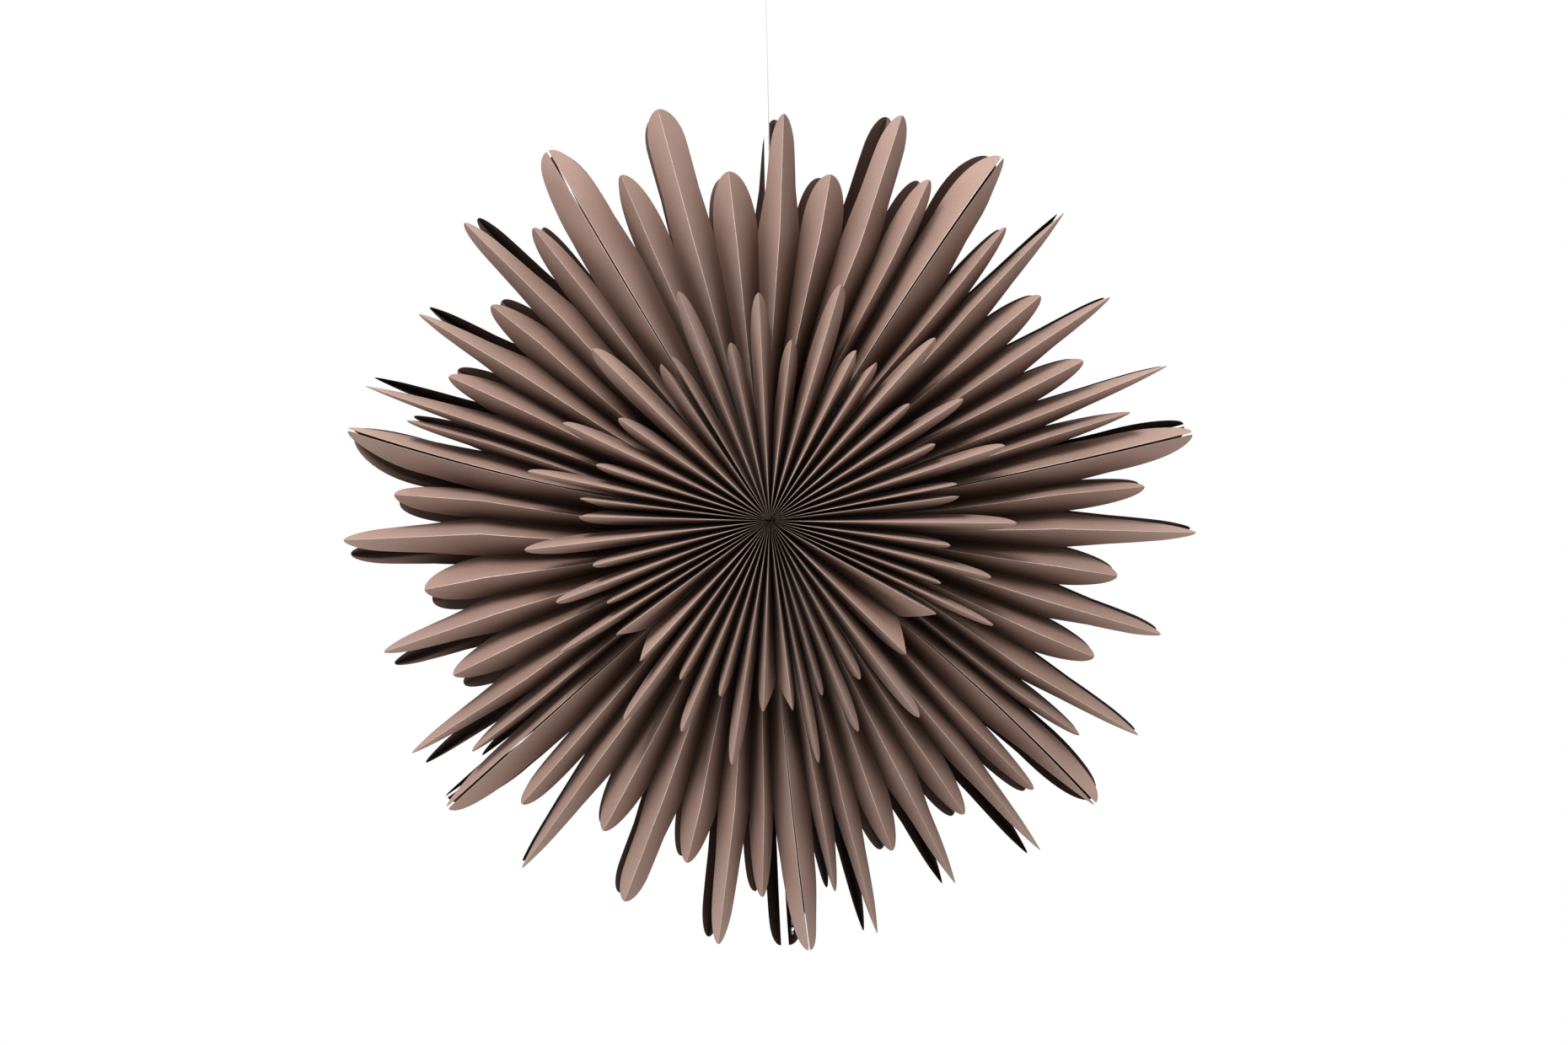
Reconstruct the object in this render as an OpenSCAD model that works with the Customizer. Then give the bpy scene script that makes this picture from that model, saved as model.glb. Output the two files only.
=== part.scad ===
/* [Paper] */
// Thickness of the paper
paper_t = 0.3; // [0.2:0.05:0.6]
// Width of one pleat panel, from ridge to valley
panel_w = 37; // [30:1:46]
// Clearance between sheets that rest on each other
sheet_fit = 0.15; // [0.05:0.05:0.3]

/* [Outer tier] */
// Radius at which the outer pleats start
outer_root = 8; // [7:0.5:14]
// Radius of the cuts between the outer petals
outer_notch = 272; // [250:1:290]
// Tip radius of the split petals at the seams
tip_seam = 404.5; // [380:0.5:430]
// How much shorter the long petals are than the split ones
long_short = 4.5; // [0:0.5:12]
// Tip radius of the middle petal of a fan
tip_middle = 382; // [350:1:420]
// Tip radius of the petals next to a seam
tip_side = 353; // [330:1:370]
// Tip radius of the short petals
tip_short = 330; // [310:1:345]
// Open width of a seam at the petal tips
seam_open = 3; // [2:0.5:6]

/* [Inner tier] */
// Radius at which the inner pleats start
inner_root = 5; // [4.5:0.5:9]
// Radius of the cuts between the inner petals
inner_notch = 100; // [85:1:115]
// Radius at which an inner fan is cut off along its seam
inner_slit = 151; // [140:1:160]
// Tip radius of the inner petals next to a seam
inner_side = 178; // [170:1:190]
// Tip radius of the long inner petals
inner_long = 230; // [210:1:250]
// Tip radius of the middle inner petal
inner_middle = 213; // [195:1:230]
// Tip radius of the short inner petals
inner_short = 170; // [160:1:185]
// Open width between two inner fans
inner_open = 1.6; // [1:0.1:3]

/* [Lamp] */
// Diameter of the lamp holder
holder_d = 28; // [24:1:32]
// Length of the lamp holder
holder_len = 52; // [44:1:60]
// Depth of the socket in the holder
socket_depth = 26; // [20:1:30]
// Diameter of the bulb's cap
cap_d = 14; // [12:0.5:16]
// Diameter of the bulb's glass
bulb_d = 25; // [20:1:28]
// Length of the bulb's glass
bulb_len = 70; // [55:1:80]
// Height of the holder's top above the star's centre
holder_top = 262; // [255:1:265]
// Thickness of the card that carries the star
card_t = 1.2; // [0.8:0.1:2]
// Width of that card
card_w = 44; // [38:1:50]

/* [Hanging] */
// Diameter of the cord
cord_d = 5; // [4:0.5:6]
// Height of the hanging hole above the star's centre
hang_drop = 520; // [480:5:560]
// How far the star's centre lies to the right of the hanging hole
hang_side = 6; // [0:0.5:12]
// Diameter of the hanging hole
eye_bore = 8; // [6:0.5:10]
// Wall round the hanging hole
eye_wall = 4; // [3:0.5:6]
// Thickness of the hanging eye
eye_t = 6; // [4:0.5:8]
// Length of the sleeve below the eye
sleeve_len = 14; // [10:1:20]
// Wall of the sleeve
sleeve_wall = 1.5; // [1:0.25:3]

/* [Closing bead] */
// Diameter of the bead
bead_d = 6.5; // [5:0.5:8]
// Distance of the bead from the tips of the split petals
bead_back = 16.5; // [14:0.5:24]
// Diameter of the thread
thread_d = 1.2; // [0.8:0.1:1.6]
// Length of the thread above the bead
thread_len = 22; // [15:1:30]

/* [Hidden] */
fans = 7;
outer_petals = 8;
inner_petals = 7;
top_fan = 1;
closing_seam = 5;

// Where each seam points, in degrees, near the centre and at the tips: the star is glued by hand
seam_in = [9.2, 59.5, 122.75, 176, 222, 272.5, 323.2];
// The back is turned a little against the front near the centre, so no seam can be seen through there
back_turn = 1.2;
seam_front = [11.7, 57.4, 121, 167.8, 221.7, 275.3, 319];
seam_back = [13, 58.7, 120.6, 168, 220.5, 273.1, 319.5];
// How far the middle of each fan leans, in degrees
lean_front = [-2, -1, 5, 4, 0.5, -1, -2];
lean_back = [-3, 1, 4, 6.2, 0.5, -1, -2];
// First and last ridge of each inner fan and how far its middle leans, in degrees
inner_first = [11, 63, 124.6, 178.7, 227.2, 276.9, 330.7];
inner_last = [56.1, 120.9, 173.4, 216.7, 268.2, 315.7, 367.4];
inner_lean = [-1.4, 0.8, 5.7, 3.2, -0.3, -3.5, -3.4];
// How far a petal has folded shut at its tip, as a share of its open width: in each fan, and at its ends
fan_shut = [0.8, 0.5, 0.65, 0.68, 0.7, 0.72, 0.85];
first_shut = [0.5, 0.4, 0.75, 0.5, 0.5, 0.45, 0.6];
last_shut = [0.8, 0.05, 0.75, 0.75, 0.75, 0.6, 0.6];
inner_shut = 0.35;

fit = 0.3;
tip_long = tip_seam - long_short;
bead_r = tip_seam - bead_back;
root_open = 1.2;
inner_root_open = 0.5;
seam_valley = 0.67;
// The core reaches as far forward and back as the ridges of the outer fans do, less this
core_inset = 12;
lamp_air = 1;
core_half = holder_d / 2 + lamp_air;
outer_top = core_half + panel_w;
core_depth = outer_top - core_inset;
inner_top = outer_top + paper_t + sheet_fit + panel_w;
closing_open = bead_d + 2 * (paper_t + fit);
bore_fit = 0.2;
neck_wall = 3;
// The lamp lies this far to the right of the star's centre
lamp_x = -1.5;
bead_inset = 10;
// The cord hangs from the sleeve to the holder. Each bend is a share of its way sideways and downwards
cord_start = -(eye_bore / 2 + eye_wall + sleeve_len);
cord_end = holder_top - hang_drop;
cord_side = hang_side + lamp_x;
cord_bends = [[0, 0], [0.22, 0.16], [0.67, 0.54], [1, 1]];
cord_route = [for (b = cord_bends) [b[0] * cord_side, 0, mix(cord_start, cord_end, b[1])]];
// The rings along each stretch, and the points of a ring
cord_steps = [3, 7, 9];
cord_sides = 10;

function polar(r, a) = [r * cos(a), r * sin(a)];
function mix(a, b, s) = a + (b - a) * s;
function part_turn(width, r) = asin(width / 2 / r);
// A lean that is nothing at the seams and full in the middle of a fan
function leaning(share, lean) = lean * 4 * share * (1 - share);
// The seam after the last one is the first again, a full turn on
function seam_at(list, i) = list[i % fans] + (i >= fans ? 360 : 0);

// A sheet is [radii, angles, ridge height, tips, cuts, wall, shut]. Odd folds are ridges, even ones valleys
function radii(sheet) = sheet[0];
function turn(sheet, j, i) = sheet[1][j][i];
function last_common(sheet) = len(radii(sheet)) - 2;
function folds(sheet) = len(sheet[1]);
function is_ridge(j) = j % 2 == 1;
function place(sheet, j, i) = polar(radii(sheet)[i], turn(sheet, j, i));
// Where a fold's line runs past the cuts between the petals
function place_at(sheet, j, r) =
    let (i = last_common(sheet), inner = radii(sheet)[i], outer = radii(sheet)[i + 1])
    mix(place(sheet, j, i), place(sheet, j, i + 1), (r - inner) / (outer - inner));

// A pleat never lies quite flat: this is the widest that one of its panels can open
widest = 0.95 * panel_w;
// Half the distance between the folds on either side of fold j
function half_pitch(before, after) = min(norm(after - before) / 2, widest);
function drop_of(c) = sqrt(panel_w * panel_w - c * c);
// Paper on a steep panel is thick when it is measured straight through the star
most_through = 10 * paper_t;
function through(c) = min(paper_t * panel_w / c - paper_t / 2, most_through);

// Both faces of a point: [place, height of the front face, height of the back face]
function face_pair(at, height, c, s) = [
    at,
    height + mix(paper_t / 2, through(c), s),
    height - mix(through(c), paper_t / 2, s)
];
function lift(at, height) = [at[0], -height, at[1]];
function both(pair) = [lift(pair[0], pair[1]), lift(pair[0], pair[2])];

// The side wall of an outer sheet stands on the seam ridge and reaches the star's middle plane
function has_wall(sheet) = sheet[5];
function is_wall(sheet, j) = has_wall(sheet) && (j == 0 || j == folds(sheet) - 1);
function beside(sheet, j) = j == 0 ? 1 : folds(sheet) - 2;
function wall_side(sheet, j) = j < folds(sheet) / 2 ? -1 : 1;
function outward(sheet, j, at) = wall_side(sheet, j) * paper_t * [-at[1], at[0]] / norm(at);
function wall_pair(sheet, j, at, s, c) =
    let (foot = sheet_fit / 2, height = mix(sheet[2] - through(c), foot, s))
    [lift(at + outward(sheet, j, at), height), lift(at, height)];
// The wall is as thick as the paper at its foot and thins out to the fold, where the first panel starts
function ridge_pair(sheet, at, c) = both(face_pair(at, sheet[2], c, 0));

function near_folds(sheet, j) =
    let (n = folds(sheet), low = has_wall(sheet) ? 1 : 0, high = n - 1 - low)
    [max(j - 1, low), min(j + 1, high)];
// At the end of a sheet there is a panel on one side only, so its whole width counts
function spread(sheet, j, before, after) =
    let (pair = near_folds(sheet, j), steps = pair[1] - pair[0])
    half_pitch(before, after) * 2 / max(steps, 1);
function width_at(sheet, j, i) =
    let (pair = near_folds(sheet, j))
    spread(sheet, j, place(sheet, pair[0], i), place(sheet, pair[1], i));
function width_past(sheet, j, r) =
    let (pair = near_folds(sheet, j))
    spread(sheet, j, place_at(sheet, pair[0], r), place_at(sheet, pair[1], r));

function fold_pair(sheet, j, i) =
    is_wall(sheet, j)
        ? let (k = beside(sheet, j)) wall_pair(sheet, j, place(sheet, k, i), 1, width_at(sheet, k, i))
        : let (c = min(width_at(sheet, j, i), widest), at = place(sheet, j, i))
            is_ridge(j) ? ridge_pair(sheet, at, c) : both(face_pair(at, sheet[2] - drop_of(c), c, 1));

// A point of a petal's cut edge, at radius r and the share s of the way from ridge to valley
function cut_pair(sheet, ridge, valley, shut, r, s) =
    is_wall(sheet, valley)
        ? wall_pair(sheet, valley, place_at(sheet, ridge, r), min(s, 1), width_past(sheet, ridge, r))
        : let (
            notch = radii(sheet)[last_common(sheet)],
            u = (r - notch) / (sheet[3][(ridge - 1) / 2] - notch),
            left_open = 1 - shut * u,
            c = left_open * min(width_past(sheet, valley, r), widest),
            at = mix(place_at(sheet, ridge, r), place_at(sheet, valley, r), s * left_open)
        ) both(face_pair(at, sheet[2] - s * drop_of(c), c, s));
function tip_pair(sheet, ridge) =
    let (r = sheet[3][(ridge - 1) / 2], c = min(width_past(sheet, ridge, r), widest))
    ridge_pair(sheet, place_at(sheet, ridge, r), c);

// How wide a petal is along its length u: a neck, a straight stretch and a round tip
neck_end = 0.38;
function petal_width(u, waist, round_from) =
    mix(1, waist, min(u / neck_end, 1))
        * (u < round_from ? 1 : sqrt(1 - pow((u - round_from) / (1 - round_from), 2)));
long_steps = [neck_end, 0.8, 0.94];
short_steps = [for (a = [30, 55, 76]) sin(a)];
cuts_per_panel = 3;
// A cut edge is a list of [radius, share of the panel's width]
function petal_cut(notch, tip, shape, steps) =
    [for (u = steps) [mix(notch, tip, u), petal_width(u, shape[0], shape[1])]];
// The slanted end of an inner fan, from its seam to the tip beside it
slant_steps = [0, 0.4, 0.75];
function slant_cut(start, tip) = [for (u = slant_steps) [mix(start, tip, u), 1 - u]];

function panel_ridge(p) = is_ridge(p) ? p : p + 1;
function panel_valley(p) = is_ridge(p) ? p + 1 : p;

// Numbers of the points: folds first, then cut edges, then tips
function fold_id(sheet, j, i) = j * (last_common(sheet) + 1) + i;
function cut_id(sheet, p, q) = fold_id(sheet, folds(sheet), 0) + p * cuts_per_panel + q;
function tip_id(sheet, ridge) = cut_id(sheet, folds(sheet) - 1, 0) + (ridge - 1) / 2;

function pairs(sheet) = concat(
    [for (j = [0:folds(sheet) - 1]) for (i = [0:last_common(sheet)]) fold_pair(sheet, j, i)],
    [for (p = [0:folds(sheet) - 2]) for (cut = sheet[4][p])
        cut_pair(sheet, panel_ridge(p), panel_valley(p), sheet[6][p], cut[0], cut[1])],
    [for (j = [1:2:folds(sheet) - 2]) tip_pair(sheet, j)]
);

// The cut edge of a panel, from its valley to its tip
function edge_ids(sheet, p) = concat(
    [fold_id(sheet, panel_valley(p), last_common(sheet))],
    [for (q = [0:cuts_per_panel - 1]) cut_id(sheet, p, q)],
    [tip_id(sheet, panel_ridge(p))]
);
// A step along an edge is [start, end, whether it starts at its lower end]
function edge_steps(sheet, p) =
    let (ids = edge_ids(sheet, p))
    [for (q = [0:len(ids) - 2]) is_ridge(p) ? [ids[q], ids[q + 1], true] : [ids[q + 1], ids[q], false]];
function strip_faces(sheet, p) = [
    for (i = [0:1:last_common(sheet) - 1])
        let (
            a = fold_id(sheet, p, i),
            b = fold_id(sheet, p + 1, i),
            c = fold_id(sheet, p + 1, i + 1),
            d = fold_id(sheet, p, i + 1)
        )
        each [[a, b, c], [a, c, d]]
];
function petal_faces(sheet, p) =
    let (centre = fold_id(sheet, panel_ridge(p), last_common(sheet)))
    [for (step = edge_steps(sheet, p)) [centre, step[0], step[1]]];
function sheet_faces(sheet) = [
    for (p = [0:folds(sheet) - 2]) each concat(strip_faces(sheet, p), petal_faces(sheet, p))
];
// Every open edge of the sheet, which gets a strip as wide as the paper is thick
function rim_steps(sheet) = concat(
    [for (p = [0:folds(sheet) - 2]) [fold_id(sheet, p, 0), fold_id(sheet, p + 1, 0), !is_ridge(p)]],
    [for (p = [0:folds(sheet) - 2]) each edge_steps(sheet, p)],
    [for (i = [0:1:last_common(sheet) - 1]) [fold_id(sheet, 0, i + 1), fold_id(sheet, 0, i), false]],
    [for (i = [0:1:last_common(sheet) - 1])
        let (j = folds(sheet) - 1) [fold_id(sheet, j, i), fold_id(sheet, j, i + 1), false]]
);
// The strip is cut from the front of its lower end to the back of its upper end: cut the other way,
// one half of it would lie flat on a side wall
function edge_strip(e) =
    e[2]
        ? [[2 * e[1], 2 * e[0], 2 * e[1] + 1], [2 * e[0], 2 * e[0] + 1, 2 * e[1] + 1]]
        : [[2 * e[1], 2 * e[0], 2 * e[0] + 1], [2 * e[1], 2 * e[0] + 1, 2 * e[1] + 1]];
function solid_faces(sheet) = concat(
    [for (f = sheet_faces(sheet)) [2 * f[0], 2 * f[1], 2 * f[2]]],
    [for (f = sheet_faces(sheet)) [2 * f[0] + 1, 2 * f[2] + 1, 2 * f[1] + 1]],
    [for (e = rim_steps(sheet)) each edge_strip(e)]
);

module folded(sheet) {
    polyhedron(points = [for (pair = pairs(sheet)) each pair], faces = solid_faces(sheet), convexity = 10);
}
module at_star() {
    translate([hang_side, 0, -hang_drop]) children();
}
module on_side(back) {
    mirror([0, back ? 1 : 0, 0]) children();
}

// Outer tier: two side walls, nine ridges and eight valleys in a fan
outer_radii = [outer_root, inner_slit, outer_notch, tip_seam];
outer_tips = [tip_seam, tip_side, tip_long, tip_short, tip_middle, tip_short, tip_long, tip_side, tip_seam];
function rim_open(seam) = seam % fans == closing_seam ? closing_open : seam_open;
function open_at(seam, i) =
    mix(root_open, rim_open(seam), (outer_radii[i] - outer_root) / (tip_seam - outer_root));
function seams_of(back) = back ? [[for (a = seam_in) a + back_turn], seam_back] : [seam_in, seam_front];
// How much of the way from the inner to the outer direction a seam has turned at each radius
bend = [0, 0, 0.5, 1];
function seam_turn(seams, seam, i) = mix(seam_at(seams[0], seam), seam_at(seams[1], seam), bend[i]);
function ridge_turn(seams, lean, fan, k, i) =
    let (
        start = seam_turn(seams, fan, i) + part_turn(open_at(fan, i), outer_radii[i]),
        end = seam_turn(seams, fan + 1, i) - part_turn(open_at(fan + 1, i), outer_radii[i]),
        share = k / outer_petals
    )
    mix(start, end, share) + (i == 0 ? 0 : leaning(share, lean[fan]));
function valley_share(k) = k == 0 ? seam_valley : k == outer_petals - 1 ? 1 - seam_valley : 0.5;
function outer_turn(seams, lean, fan, j, i) =
    let (step = (j - 1) / 2, k = min(max(floor(step), 0), outer_petals))
    j == 0 || j == 2 * outer_petals + 2 || is_ridge(j)
        ? ridge_turn(seams, lean, fan, k, i)
        : mix(
            ridge_turn(seams, lean, fan, k, i),
            ridge_turn(seams, lean, fan, k + 1, i),
            valley_share(k)
        );
// How wide a petal's neck stays and how far out its tip starts to round, for each kind of petal
wall_shape = [0.8, 0.6];
seam_shape = [1, 0.6];
middle_shape = [0.8, 0.75];
long_shape = [1, 0.7];
short_shape = [1, 0.3];
inner_shape = [1, 0.2];
middle_petal = outer_petals / 2;
// Long and short petals take turns, and the ones beside a seam are short
function outer_shape(p, k) =
    p == 0 || p == 2 * outer_petals + 1 ? wall_shape
        : k == 0 || k == outer_petals ? seam_shape
        : k == middle_petal ? middle_shape
        : k % 2 == 0 ? long_shape
        : short_shape;
function outer_cut(p) =
    let (k = (panel_ridge(p) - 1) / 2)
    petal_cut(outer_notch, outer_tips[k], outer_shape(p, k), k % 2 == 0 ? long_steps : short_steps);
function outer_shut(fan, p) =
    let (k = (panel_ridge(p) - 1) / 2)
    k == 0 ? first_shut[fan] : k == outer_petals ? last_shut[fan] : fan_shut[fan];
function outer_sheet(back, fan) = [
    outer_radii,
    [for (j = [0:2 * outer_petals + 2])
        [for (i = [0:3]) outer_turn(seams_of(back), back ? lean_back : lean_front, fan, j, i)]],
    outer_top,
    outer_tips,
    [for (p = [0:2 * outer_petals + 1]) outer_cut(p)],
    true,
    [for (p = [0:2 * outer_petals + 1]) outer_shut(fan, p)]
];
module outer_sheet_part(fan, back) {
    color([0.57, 0.46, 0.41])
        at_star()
            on_side(back)
                folded(outer_sheet(back, fan));
}

// Inner tier: seven ridges, and a valley at each end that lies along the seam
inner_radii = [inner_root, inner_notch, inner_long];
inner_tips = [inner_side, inner_long, inner_short, inner_middle, inner_short, inner_long, inner_side];
inner_openings = [inner_root_open, inner_open, inner_open];
function inner_edge(fan, side, i) =
    seam_at(seam_in, fan + side) + (side == 0 ? 1 : -1) * part_turn(inner_openings[i], inner_radii[i]);
function inner_ridge(fan, k, i) =
    let (share = (k - 1) / (inner_petals - 1))
    i == 0
        ? mix(inner_edge(fan, 0, 0), inner_edge(fan, 1, 0), (2 * k - 1) / (2 * inner_petals))
        : mix(inner_first[fan], inner_last[fan], share) + leaning(share, inner_lean[fan]);
function inner_turn(fan, j, i) =
    j == 0 ? inner_edge(fan, 0, i)
        : j == 2 * inner_petals ? inner_edge(fan, 1, i)
        : is_ridge(j) ? inner_ridge(fan, (j + 1) / 2, i)
        : mix(inner_ridge(fan, j / 2, i), inner_ridge(fan, j / 2 + 1, i), 0.5);
function inner_cut(p) =
    let (k = (panel_ridge(p) - 1) / 2, tip = inner_tips[k])
    p == 0 || p == 2 * inner_petals - 1
        ? slant_cut(inner_slit, tip)
        : petal_cut(inner_notch, tip, inner_shape, short_steps);
function inner_sheet(back, fan) = [
    inner_radii,
    [for (j = [0:2 * inner_petals]) [for (i = [0:2]) inner_turn(fan, j, i) + (back ? back_turn : 0)]],
    inner_top,
    inner_tips,
    [for (p = [0:2 * inner_petals - 1]) inner_cut(p)],
    false,
    [for (p = [0:2 * inner_petals - 1]) p == 0 || p == 2 * inner_petals - 1 ? 0 : inner_shut]
];
module inner_fan_part(fan, back) {
    color([0.55, 0.44, 0.39])
        at_star()
            on_side(back)
                folded(inner_sheet(back, fan));
}

// The fans are gathered round a short core, which closes the centre to the eye
module centre_core() {
    color([0.35, 0.26, 0.22])
        at_star()
            rotate([90, 0, 0])
                cylinder(r = outer_root - sheet_fit, h = 2 * core_depth, center = true, $fn = 64);
}

// The lamp hangs in the hollow of the top fan, on the cord's line
neck_d = cord_d + 2 * neck_wall;
neck_len = 8;
shoulder = holder_top - neck_len;
holder_end = holder_top - holder_len;
card_foot = shoulder + sheet_fit;
module on_lamp(z) {
    at_star() translate([lamp_x, 0, z]) children();
}
// How far the hollow reaches beside the card: up to the valleys that it lies between
function valley_reach(back, j) =
    let (
        sheet = outer_sheet(back, top_fan),
        i = last_common(sheet),
        share = (card_foot - outer_radii[i - 1]) / (outer_radii[i] - outer_radii[i - 1]),
        near = outer_top - drop_of(width_at(sheet, j, i - 1)),
        far = outer_top - drop_of(width_at(sheet, j, i))
    )
    mix(near, far, share) - paper_t / 2 - sheet_fit;
card_valleys = [8, 10];
card_front = min([for (j = card_valleys) valley_reach(false, j)]);
card_back = min([for (j = card_valleys) valley_reach(true, j)]);

module hanger_card() {
    color([0.8, 0.76, 0.7])
        on_lamp(card_foot)
            difference() {
                translate([-card_w / 2, -card_front, 0])
                    cube([card_w, card_front + card_back, card_t]);
                translate([0, 0, -1])
                    cylinder(d = neck_d + 2 * bore_fit, h = card_t + 2, $fn = 48);
            }
}
module lamp_holder() {
    color([0.93, 0.93, 0.91])
        on_lamp(holder_end)
            difference() {
                union() {
                    cylinder(d = holder_d, h = shoulder - holder_end, $fn = 64);
                    cylinder(d = neck_d, h = holder_len, $fn = 48);
                }
                translate([0, 0, -1])
                    cylinder(d = cap_d + 2 * fit, h = socket_depth + 1, $fn = 48);
            }
}
// A cap in the socket, and a glass with a round lower end
module bulb() {
    color([0.95, 0.94, 0.9])
        on_lamp(holder_end - fit)
            union() {
                cylinder(d = cap_d, h = socket_depth, $fn = 48);
                translate([0, 0, -bulb_len + bulb_d / 2]) {
                    cylinder(d = bulb_d, h = bulb_len - bulb_d / 2, $fn = 64);
                    sphere(d = bulb_d, $fn = 64);
                }
            }
}

// The cord is swept down its route in level rings, so both its ends are flat
function cord_ring(at) =
    [for (k = [0:cord_sides - 1]) let (a = 360 * k / cord_sides)
        at + cord_d / 2 * [cos(a), sin(a), 0]];
cord_rings = concat(
    [for (i = [0:len(cord_route) - 2]) for (k = [0:cord_steps[i] - 1])
        mix(cord_route[i], cord_route[i + 1], k / cord_steps[i])],
    [cord_route[len(cord_route) - 1]]
);
module lamp_cord() {
    n = cord_sides;
    last = len(cord_rings) - 1;
    color([0.96, 0.96, 0.95])
        polyhedron(
            points = [for (at = cord_rings) each cord_ring(at)],
            faces = concat(
                [[for (k = [n - 1:-1:0]) k]],
                [[for (k = [0:n - 1]) last * n + k]],
                [for (i = [0:last - 1]) for (k = [0:n - 1])
                    let (a = i * n + k, b = i * n + (k + 1) % n)
                    [a, b, b + n, a + n]]
            )
        );
}
module hanging_eye() {
    eye_r = eye_bore / 2 + eye_wall;
    sleeve_d = cord_d + 2 * sleeve_wall;
    color([0.9, 0.9, 0.88])
        difference() {
            union() {
                rotate([90, 0, 0])
                    cylinder(r = eye_r, h = eye_t, center = true, $fn = 64);
                translate([0, 0, -eye_r - sleeve_len])
                    cylinder(d = sleeve_d, h = sleeve_len + eye_wall / 2, $fn = 48);
            }
            rotate([90, 0, 0])
                cylinder(d = eye_bore, h = 2 * sleeve_d, center = true, $fn = 64);
        }
}

// The bead lies in the open seam between the side walls of the two back fans that meet there
function bead_place() =
    let (
        before = outer_sheet(true, closing_seam - 1),
        after = outer_sheet(true, closing_seam)
    )
    mix(place_at(before, folds(before) - 2, bead_r), place_at(after, 1, bead_r), 0.5);
// Turns the upright axis so that it points away from the star's centre
module on_bead() {
    at = bead_place();
    at_star()
        translate([at[0], outer_top - bead_inset, at[1]])
            rotate([0, 90 - atan2(at[1], at[0]), 0])
                children();
}
module closing_thread() {
    knot_d = 2 * thread_d;
    color([0.9, 0.88, 0.84])
        on_bead() {
            translate([0, 0, -thread_len])
                cylinder(d = thread_d, h = thread_len + bead_d / 2 + knot_d / 2, $fn = 24);
            translate([0, 0, bead_d / 2 + knot_d / 2])
                sphere(d = knot_d, $fn = 24);
        }
}
module closing_bead() {
    color([0.75, 0.75, 0.76])
        on_bead()
            difference() {
                sphere(d = bead_d, $fn = 48);
                cylinder(d = thread_d + 2 * bore_fit, h = 2 * bead_d, center = true, $fn = 24);
            }
}

outer_sheet_part(0, false);  // front_sheet_1
outer_sheet_part(1, false);  // front_sheet_2
outer_sheet_part(2, false);  // front_sheet_3
outer_sheet_part(3, false);  // front_sheet_4
outer_sheet_part(4, false);  // front_sheet_5
outer_sheet_part(5, false);  // front_sheet_6
outer_sheet_part(6, false);  // front_sheet_7
outer_sheet_part(0, true);  // back_sheet_1
outer_sheet_part(1, true);  // back_sheet_2
outer_sheet_part(2, true);  // back_sheet_3
outer_sheet_part(3, true);  // back_sheet_4
outer_sheet_part(4, true);  // back_sheet_5
outer_sheet_part(5, true);  // back_sheet_6
outer_sheet_part(6, true);  // back_sheet_7
inner_fan_part(0, false);  // front_fan_1
inner_fan_part(1, false);  // front_fan_2
inner_fan_part(2, false);  // front_fan_3
inner_fan_part(3, false);  // front_fan_4
inner_fan_part(4, false);  // front_fan_5
inner_fan_part(5, false);  // front_fan_6
inner_fan_part(6, false);  // front_fan_7
inner_fan_part(0, true);  // back_fan_1
inner_fan_part(1, true);  // back_fan_2
inner_fan_part(2, true);  // back_fan_3
inner_fan_part(3, true);  // back_fan_4
inner_fan_part(4, true);  // back_fan_5
inner_fan_part(5, true);  // back_fan_6
inner_fan_part(6, true);  // back_fan_7
centre_core();
hanger_card();
lamp_holder();
bulb();
lamp_cord();
hanging_eye();
closing_thread();
closing_bead();
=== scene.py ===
import bpy
from math import asin, cos, degrees, pi, radians, sin, sqrt
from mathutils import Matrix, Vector


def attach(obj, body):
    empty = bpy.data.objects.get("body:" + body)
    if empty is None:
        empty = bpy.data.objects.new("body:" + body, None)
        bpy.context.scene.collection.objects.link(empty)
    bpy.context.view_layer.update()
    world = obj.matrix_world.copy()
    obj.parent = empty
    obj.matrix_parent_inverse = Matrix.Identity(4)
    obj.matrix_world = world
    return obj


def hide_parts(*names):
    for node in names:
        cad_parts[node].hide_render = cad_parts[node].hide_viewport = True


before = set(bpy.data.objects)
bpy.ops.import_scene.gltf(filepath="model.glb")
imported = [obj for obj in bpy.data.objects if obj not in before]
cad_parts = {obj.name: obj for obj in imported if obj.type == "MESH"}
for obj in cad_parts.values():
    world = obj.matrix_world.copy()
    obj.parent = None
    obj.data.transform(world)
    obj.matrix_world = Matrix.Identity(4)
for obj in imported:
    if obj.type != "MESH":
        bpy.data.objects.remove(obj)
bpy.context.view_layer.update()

mm = 0.001
print("frame loaded")


# Shader sockets as numbers: an expression on them adds its Math nodes
class Wire:
    def __init__(self, tree, socket):
        self.tree = tree
        self.socket = socket

    def math(self, operation, other):
        return addNode(self.tree, "ShaderNodeMath", {"operation": operation}, {0: self, 1: other})

    def __add__(self, other):
        return self.math("ADD", other)

    def __radd__(self, other):
        return self.math("ADD", other)

    def __mul__(self, other):
        return self.math("MULTIPLY", other)

    def __rmul__(self, other):
        return self.math("MULTIPLY", other)


# Any other node: its type, its settings, which are set first, and its inputs
def addNode(tree, kind, settings=None, inputs=None, out=0):
    node = tree.nodes.new(kind)
    for name, value in (settings or {}).items():
        setattr(node, name, value)
    for name, value in (inputs or {}).items():
        if isinstance(value, Wire):
            tree.links.new(value.socket, node.inputs[name])
        else:
            node.inputs[name].default_value = value
    return Wire(tree, node.outputs[out])


def mixColour(tree, factor, first, second):
    return addNode(tree, "ShaderNodeMix", {"data_type": "RGBA"}, {0: factor, 6: first, 7: second}, out=2)


# Where a point is on its own object, for the noises
def objectPlace(tree):
    return addNode(tree, "ShaderNodeTexCoord", out=3)


def noiseAt(tree, place, scale, detail):
    return addNode(tree, "ShaderNodeTexNoise", {}, {"Vector": place, "Scale": scale, "Detail": detail})


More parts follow.
